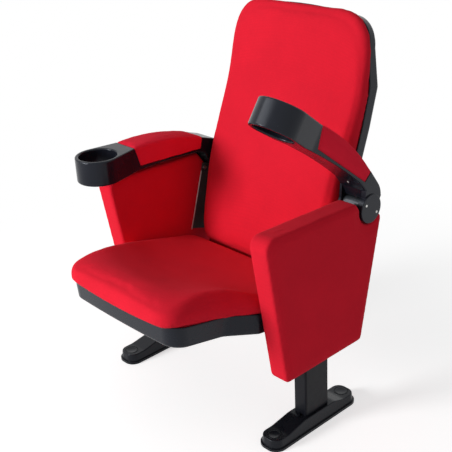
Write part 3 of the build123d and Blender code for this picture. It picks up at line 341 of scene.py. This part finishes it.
def evaluated(piece):
    """Bake a piece's modifiers into its mesh."""
    graph = bpy.context.evaluated_depsgraph_get()
    mesh = bpy.data.meshes.new_from_object(piece.evaluated_get(graph))
    old = piece.data
    piece.modifiers.clear()
    piece.data = mesh
    bpy.data.meshes.remove(old)
    return piece


def points(mesh):
    co = np.empty(len(mesh.vertices) * 3)
    mesh.vertices.foreach_get("co", co)
    return co.reshape(-1, 3)


def set_points(mesh, co):
    mesh.vertices.foreach_set("co", co.ravel())
    mesh.update()


def normals(mesh):
    no = np.empty(len(mesh.vertices) * 3)
    mesh.vertices.foreach_get("normal", no)
    return no.reshape(-1, 3)


def voxels(piece, size):
    modifier = piece.modifiers.new("Remesh", "REMESH")
    modifier.mode = "VOXEL"
    modifier.voxel_size = size
    modifier.use_smooth_shade = True
    return evaluated(piece)


def relax(piece, rounds):
    """Smooth away the voxels' steps without shrinking the piece."""
    push, pull = 0.5, -0.52
    mesh = piece.data
    edges = np.empty(len(mesh.edges) * 2, int)
    mesh.edges.foreach_get("vertices", edges)
    a, b = edges[0::2], edges[1::2]
    count = np.bincount(edges, minlength=len(mesh.vertices))[:, None].clip(1)
    co = points(mesh)
    for step in range(rounds * 2):
        total = np.zeros_like(co)
        np.add.at(total, a, co[b])
        np.add.at(total, b, co[a])
        co = co + (total / count - co) * (push if step % 2 == 0 else pull)
    set_points(mesh, co)


def ease(x, low, high):
    t = np.clip((x - low) / (high - low), 0, 1)
    return t * t * (3 - 2 * t)


def puff(piece, cap, share):
    """Blow a padded piece up with a cloth simulation, outwards only, and up to a cap.

    share gives, for each point, how much of the swell it keeps.
    """
    frames = 20
    start, outward = points(piece.data), normals(piece.data)
    cloth = piece.modifiers.new("Cloth", "CLOTH")
    cloth.settings.quality = 4
    cloth.settings.use_pressure = True
    cloth.settings.uniform_pressure_force = PRESSURE
    cloth.settings.effector_weights.gravity = 0
    cloth.collision_settings.use_collision = False
    cloth.point_cache.frame_start = 1
    cloth.point_cache.frame_end = frames
    for number in range(1, frames + 1):
        bpy.context.scene.frame_set(number)
    graph = bpy.context.evaluated_depsgraph_get()
    moved = points(piece.evaluated_get(graph).data)
    piece.modifiers.clear()
    bpy.context.scene.frame_set(1)
    swell = np.einsum("ij,ij->i", moved - start, outward).clip(0)
    swell = cap * (1 - np.exp(-swell / cap))
    swell *= share(start)
    set_points(piece.data, start + outward * swell[:, None])


def subdivide(piece):
    modifier = piece.modifiers.new("Subdivision", "SUBSURF")
    modifier.levels = modifier.render_levels = 1
    evaluated(piece)
    piece.data.polygons.foreach_set("use_smooth", [True] * len(piece.data.polygons))


class SideView:
    """A frame that is turned about X: its points are (x, along, out of its plane)."""

    def __init__(self, origin, turn):
        self.origin, self.cos, self.sin = origin, cos(turn), sin(turn)

    def local(self, co):
        y, z = co[:, 1] - self.origin[0], co[:, 2] - self.origin[1]
        along, out = y * self.cos - z * self.sin, y * self.sin + z * self.cos
        return np.stack([co[:, 0], along, out], axis=1)

    def world(self, local):
        y = self.origin[0] + local[:, 1] * self.cos + local[:, 2] * self.sin
        z = self.origin[1] - local[:, 1] * self.sin + local[:, 2] * self.cos
        return np.stack([local[:, 0], y, z], axis=1)


SEAT_VIEW = SideView(SEAT_SEAM, SEAT_SLOPE)  # to the seat's rear, up out of its seam
BACK_VIEW = SideView(BACK_FOOT, BACK_LEAN - pi / 2)  # up the back, forward of its seam
ARM_VIEW = {name: SideView(HINGE, turn) for name, turn in ARM_LIFT.items()}  # rearward, up


# ---------------------------------------------------------------- seat cushion
cushion = from_node("seat_cushion", FABRIC)
cushion.name = "seat_cushion_cover"
voxels(cushion, 0.006)
relax(cushion, 6)
puff(cushion, 0.005, lambda co: ease(SEAT_VIEW.local(co)[:, 2], 0.0, 0.02))
relax(cushion, 2)
local = SEAT_VIEW.local(points(cushion.data))
local[:, 2] = np.maximum(local[:, 2], SEAM_LIFT)
local[:, 0] = np.clip(local[:, 0], -SEAT_WIDEST_HALF, SEAT_WIDEST_HALF)
ahead, aside = -local[:, 1], np.abs(local[:, 0])
low = 1 - ease(local[:, 2], 0.0, SAG_HEIGHT)
front = ease(ahead, 0.385, 0.405) * (1 - (aside / FRONT_SAG_HALF).clip(0, 1) ** 2)
waist = ease(aside, 0.17, 0.20) * ease(ahead, 0.15, 0.20) * (1 - ease(ahead, 0.32, 0.38))
local[:, 2] -= (FRONT_SAG * front + WAIST_SAG * waist) * low
local[:, 1] -= FRONT_BULGE * front * low
set_points(cushion.data, SEAT_VIEW.world(local))
subdivide(cushion)


# ---------------------------------------------------------------- back cushion
backrest = from_node("back_cushion", FABRIC)
backrest.name = "back_cushion_cover"
voxels(backrest, 0.006)
relax(backrest, 6)
puff(backrest, 0.004, lambda co: ease(BACK_VIEW.local(co)[:, 2], 0.0, 0.05))
relax(backrest, 2)
local = BACK_VIEW.local(points(backrest.data))
low_corner, high_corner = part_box("back_cushion")
local[:, 0] = np.clip(local[:, 0], low_corner[0], high_corner[0])  # the armrests pass here
seam_line = np.maximum(0.0, HEAD_FORWARD * (local[:, 1] - BACK_BEND) / HEAD_HEIGHT)
local[:, 2] = np.maximum(local[:, 2], seam_line + BACK_SEAM_LIFT)
corner = ease(np.abs(local[:, 0]), 0.10, 0.20) * ease(local[:, 1], 0.50, 0.64)
rim = 1 - ease(local[:, 2] - seam_line, 0.006, 0.040)
reach = np.hypot(local[:, 0], local[:, 1] - RIM_CENTRE) + 1e-9
spread = (RIM_SPREAD + CORNER_SPREAD * corner) * rim * ease(reach, 0.10, 0.17)
local[:, 0] += spread * local[:, 0] / reach
local[:, 1] += spread * (local[:, 1] - RIM_CENTRE) / reach * ease(local[:, 1], 0.40, 0.55)
set_points(backrest.data, BACK_VIEW.world(local))
subdivide(backrest)


# ---------------------------------------------------------------- side panels
def rounded_outline(corners, steps=6):
    """A closed outline through corners that are rounded to their radii."""
    outline = []
    for index, (y, z, radius) in enumerate(corners):
        here = Vector((y, z))
        before = Vector(corners[index - 1][:2]) - here
        after = Vector(corners[(index + 1) % len(corners)][:2]) - here
        before.normalize()
        after.normalize()
        half = before.angle(after) / 2
        middle = (before + after).normalized()
        centre = here + middle * (radius / sin(half))
        first = here + before * (radius / tan(half)) - centre
        last = here + after * (radius / tan(half)) - centre
        sweep = first.angle_signed(last)
        for step in range(steps + 1):
            turn = -sweep * step / steps
            outline.append(
                centre + Vector((
                    first.x * cos(turn) - first.y * sin(turn),
                    first.x * sin(turn) + first.y * cos(turn),
                ))
            )
    return outline


def prism(outline, low, high, bevel=0.0, segments=5):
    """A solid between two places along X, with its rims rounded."""
    bm = bmesh.new()
    rings = [[bm.verts.new((x, p[0], p[1])) for p in outline] for x in (low, high)]
    count = len(outline)
    bm.faces.new(rings[0])
    bm.faces.new(rings[1])
    for i in range(count):
        j = (i + 1) % count
        bm.faces.new((rings[0][i], rings[0][j], rings[1][j], rings[1][i]))
    bmesh.ops.recalc_face_normals(bm, faces=bm.faces)
    if bevel:
        rims = [e for e in bm.edges if abs(e.verts[0].co.x - e.verts[1].co.x) < 1e-9]
        bmesh.ops.bevel(
            bm, geom=rims, offset=bevel, segments=segments, profile=0.5, affect="EDGES"
        )
    return bm


def circle(centre, radius):
    count = 48
    angles = [2 * pi * i / count for i in range(count)]
    return [(centre[0] + radius * cos(a), centre[1] + radius * sin(a)) for a in angles]


def cut(piece, *cutters):
    for cutter in cutters:
        modifier = piece.modifiers.new("Cut", "BOOLEAN")
        modifier.operation = "DIFFERENCE"
        modifier.solver = "EXACT"
        modifier.object = cutter
    evaluated(piece)
    for cutter in cutters:
        bpy.data.objects.remove(cutter)
    return piece


for name, sign in SIDES.items():
    centre = sign * HALF_PITCH
    ends = sorted((centre - PANEL_HALF, centre + PANEL_HALF))
    outline = rounded_outline(PANEL_CORNERS)
    bm = prism(outline, ends[0] + PANEL_INSET, ends[1] - PANEL_INSET, PANEL_ROUND)
    panel = new_object(name + "_panel_cover", mesh_of(bm), FABRIC)
    pocket_ends = sorted(centre + sign * end for end in POCKET_ENDS)
    bm = prism(circle(HINGE, POCKET_RADIUS), *pocket_ends)
    pocket = new_object("pocket", mesh_of(bm), FABRIC)
    cut(panel, pocket)
    voxels(panel, 0.0045)
    relax(panel, 3)

    def share(co, centre=centre, sign=sign):
        outward = (co[:, 0] - centre) * sign
        away = np.hypot(co[:, 1] - HINGE[0], co[:, 2] - HINGE[1])
        return (0.05 + 0.95 * ease(outward, -0.028, 0.0)) * ease(away, 0.044, 0.075)

    puff(panel, 0.0042, share)
    co = points(panel.data)
    inward = (co[:, 0] - centre) * sign
    co[:, 0] = centre + sign * np.maximum(inward, -PANEL_HALF)
    set_points(panel.data, co)
    subdivide(panel)
    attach(panel, "standards")
    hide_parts(name + "_panel_upholstery")


# ---------------------------------------------------------------- armrests
for name, sign in SIDES.items():
    pad = from_node(name + "_arm_pad", PAD_FABRIC_LIT)
    pad.name = name + "_arm_pad_cover"
    voxels(pad, 0.003)
    relax(pad, 3)

    def share(co, name=name):
        return ease(ARM_VIEW[name].local(co)[:, 2], 0.045, 0.075)

    puff(pad, 0.0045, share)
    relax(pad, 1)
    # no wider than its solid on the side of the back, which it passes when raised
    low_corner, high_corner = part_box(name + "_arm_pad")
    co = points(pad.data)
    if sign > 0:
        co[:, 0] = np.maximum(co[:, 0], low_corner[0])
    else:
        co[:, 0] = np.minimum(co[:, 0], high_corner[0])
    set_points(pad.data, co)
    subdivide(pad)
    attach(pad, name + "_armrest")
    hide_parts(name + "_arm_pad")


def lathe(profile, steps=32):
    """A body of revolution about X: the profile's points are (x, radius)."""
    bm = bmesh.new()
    rings = []
    for x, radius in profile:
        if radius < 1e-9:
            rings.append([bm.verts.new((x, 0, 0))])
        else:
            angles = [2 * pi * i / steps for i in range(steps)]
            rings.append([bm.verts.new((x, radius * cos(a), radius * sin(a))) for a in angles])
    for low, high in zip(rings, rings[1:]):
        for i in range(steps):
            j = (i + 1) % steps
            if len(low) == 1:
                bm.faces.new((low[0], high[i], high[j]))
            elif len(high) == 1:
                bm.faces.new((low[i], low[j], high[0]))
            else:
                bm.faces.new((low[i], low[j], high[j], high[i]))
    return bm


def cross_head(name, radius, height, shank, length):
    """A domed screw along X whose head stands on x = 0, with a cross recess in it."""
    dome = [(-length, 0), (-length, shank), (0, shank), (0, radius), (height * 0.25, radius)]
    for angle in (20, 40, 60, 75):
        turn = radians(angle)
        dome.append((height * (0.25 + 0.75 * sin(turn)), radius * cos(turn) ** 0.8))
    dome.append((height, 0))
    screw = new_object(name, mesh_of(lathe(dome)), ZINC)
    arm, half = radius * 0.62, radius * 0.11
    cutters = []
    for wide, tall in ((arm, half), (half, arm)):
        corners = [(-wide, -tall), (wide, -tall), (wide, tall), (-wide, tall)]
        bm = prism(corners, height * 0.30, height * 1.5)
        cutters.append(new_object("recess", mesh_of(bm), ZINC))
    return cut(screw, *cutters)


for name, sign in SIDES.items():
    face = sign * (HALF_PITCH + CAP_FACE)
    screws = []
    for index, along in enumerate((-CAP_SCREW_OFFSET, CAP_SCREW_OFFSET)):
        screw_name = f"{name}_cap_screw_{index + 1}"
        screw = cross_head(screw_name, radius=0.0035, height=0.0020, shank=0.002, length=0.0115)
        place = ARM_VIEW[name].world(np.array([[face, along, 0.0]]))[0]
        matrix = Matrix.Translation(place) @ Matrix.Rotation(0.4 + index * 1.1, 4, "X")
        if sign < 0:
            matrix = matrix @ Matrix.Rotation(pi, 4, "Z")
        screw.data.transform(matrix)
        screws.append(screw)
    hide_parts(name + "_cap_screws")
    # a screw in the armrest's arched underside
    screw = cross_head(
        name + "_under_screw", radius=0.0028, height=0.0016, shank=0.0014, length=0.006
    )
    local = np.array([[sign * UNDER_SCREW_X, *end] for end in UNDER_SCREW])
    ends = ARM_VIEW[name].world(local)
    facing = Vector((1, 0, 0)).rotation_difference(Vector(ends[1] - ends[0]))
    screw.data.transform(Matrix.Translation(ends[0]) @ facing.to_matrix().to_4x4())
    screws.append(screw)
    for screw in screws:
        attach(screw, name + "_armrest")

# Bolt caps in the feet: flat discs with a round rim, a groove away from the foot's well.
CAP_PROFILE = [
    (0.02655, 0), (0.02655, 0.0174), (0.0280, 0.0174), (0.0286, 0.0172), (0.0289, 0.0168),
    (0.0290, 0.0160), (0.0290, 0.0130), (0.0288, 0.0125), (0.0288, 0),
]
for name, sign in SIDES.items():
    for index, y in enumerate(ANCHOR_Y):
        cap = new_object(f"{name}_bolt_cap_{index + 1}", mesh_of(lathe(CAP_PROFILE, 64)), FOOT)
        stand = Matrix.Translation((sign * HALF_PITCH, y, 0)) @ Matrix.Rotation(-pi / 2, 4, "Y")
        cap.data.transform(stand)
        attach(cap, "standards")
        if index == 0:
            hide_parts(name + "_anchor_caps")

# The side brackets' edges beside the back, near white: a painted highlight for the light these
# edges catch.
for name, sign in SIDES.items():
    (low, high), (rear, front) = BRACKET_EDGE
    corners = [(0, low, rear), (0, high, rear), (0, high, front), (0, low, front)]
    outline = [(y, z) for _, y, z in BACK_VIEW.world(np.array(corners))]
    ends = sorted(sign * end for end in BRACKET_ENDS)
    bm = prism(outline, *ends, 0.0002, 2)
    strip = new_object(name + "_bracket_edge", mesh_of(bm), EDGE_HIGHLIGHT)
    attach(strip, "standards")

for piece, body, node_name in (
    (cushion, "seat", "seat_cushion"),
    (backrest, "standards", "back_cushion"),
):
    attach(piece, body)
    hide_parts(node_name)


# ---------------------------------------------------------------- stage, light and camera
def ray_switch(n):
    """1 for a ray that the camera, a reflection or a clear body sends, 0 for the others."""
    path = n.add("ShaderNodeLightPath")
    seen = n.math("MAXIMUM", path.outputs["Is Camera Ray"], path.outputs["Is Glossy Ray"])
    return n.math("MAXIMUM", seen, path.outputs["Is Transmission Ray"])


def floor_material():
    """White, and lifted to a shadowless white away from the seat for the rays that are seen."""
    n = material_nodes("floor_white")
    seen = ray_switch(n)
    diffuse = n.add("ShaderNodeBsdfDiffuse", {"Color": (0.88, 0.88, 0.88, 1)})
    lift = n.add("ShaderNodeEmission", {"Strength": n.math("MULTIPLY", seen, 0.56)})
    white = n.add("ShaderNodeEmission", {"Strength": 1.0})
    near = n.add("ShaderNodeAddShader", {0: diffuse.outputs[0], 1: lift.outputs[0]})
    distance = n.add("ShaderNodeVectorMath", {0: n.place}, operation="LENGTH").outputs["Value"]
    factor = n.math("MULTIPLY", n.spread(distance, 0.0, 1.0, 0.5, 1.5), seen)
    sides = {0: factor, 1: near.outputs[0], 2: white.outputs[0]}
    return n.finish(n.add("ShaderNodeMixShader", sides))


bm = bmesh.new()
bmesh.ops.create_grid(bm, x_segments=8, y_segments=8, size=20.0)
floor = new_object("floor", mesh_of(bm), floor_material())
floor.location = (0, 0, -0.0003)

FILL_LIGHT = 0.30  # the white surroundings light the object less than they show
studio = Nodes(bpy.data.worlds.new("studio"), "ShaderNodeOutputWorld")
strength = studio.spread(ray_switch(studio), FILL_LIGHT, 1.0)
values = {"Color": (1, 1, 1, 1), "Strength": strength}
bpy.context.scene.world = studio.finish(studio.add("ShaderNodeBackground", values))


def area_light(name, place, target, size, power, height=None):
    """A disc, or a rectangle where a height is given, that faces its target."""
    data = bpy.data.lights.new(name, "AREA")
    data.shape = "RECTANGLE" if height else "DISK"
    data.size = size
    data.size_y = height or size
    data.energy = power
    light = bpy.data.objects.new(name, data)
    light.location = place
    light.rotation_euler = (Vector(target) - Vector(place)).to_track_quat("-Z", "Y").to_euler()
    bpy.context.scene.collection.objects.link(light)
    return light


area_light("key", (-1.55, -4.1, 1.7), (0, 0, 0.45), size=1.5, power=150)
# a wide soft box that only the gloss of plastics and steel shows
gloss = area_light("gloss", (-1.4, -2.9, 3.3), (0.2, -0.1, 0.8), size=4.0, power=52, height=1.1)
gloss.visible_diffuse = False

# The photograph's view, in metres, radians and millimetres of lens.
CAMERA_PLACE = (1.6054, -1.4332, 1.4421)
AZIMUTH, ELEVATION, ROLL = 0.839235691, 0.422144733, -0.0526210944
LENS, SENSOR_WIDTH = 71.27, 36.0
back_axis = Vector((
    sin(AZIMUTH) * cos(ELEVATION), -cos(AZIMUTH) * cos(ELEVATION), sin(ELEVATION)
))
right_axis = Vector((cos(AZIMUTH), sin(AZIMUTH), 0))
up_axis = back_axis.cross(right_axis)
right_axis, up_axis = (
    right_axis * cos(ROLL) + up_axis * sin(ROLL),
    up_axis * cos(ROLL) - right_axis * sin(ROLL),
)
camera_data = bpy.data.cameras.new("camera")
camera_data.lens = LENS
camera_data.sensor_width = SENSOR_WIDTH
camera_data.sensor_fit = "HORIZONTAL"
camera = bpy.data.objects.new("camera", camera_data)
bpy.context.scene.collection.objects.link(camera)
rotation = Matrix((right_axis, up_axis, back_axis)).transposed().to_4x4()
camera.matrix_world = Matrix.Translation(CAMERA_PLACE) @ rotation
bpy.context.scene.camera = camera
bpy.context.scene.view_settings.view_transform = "Standard"
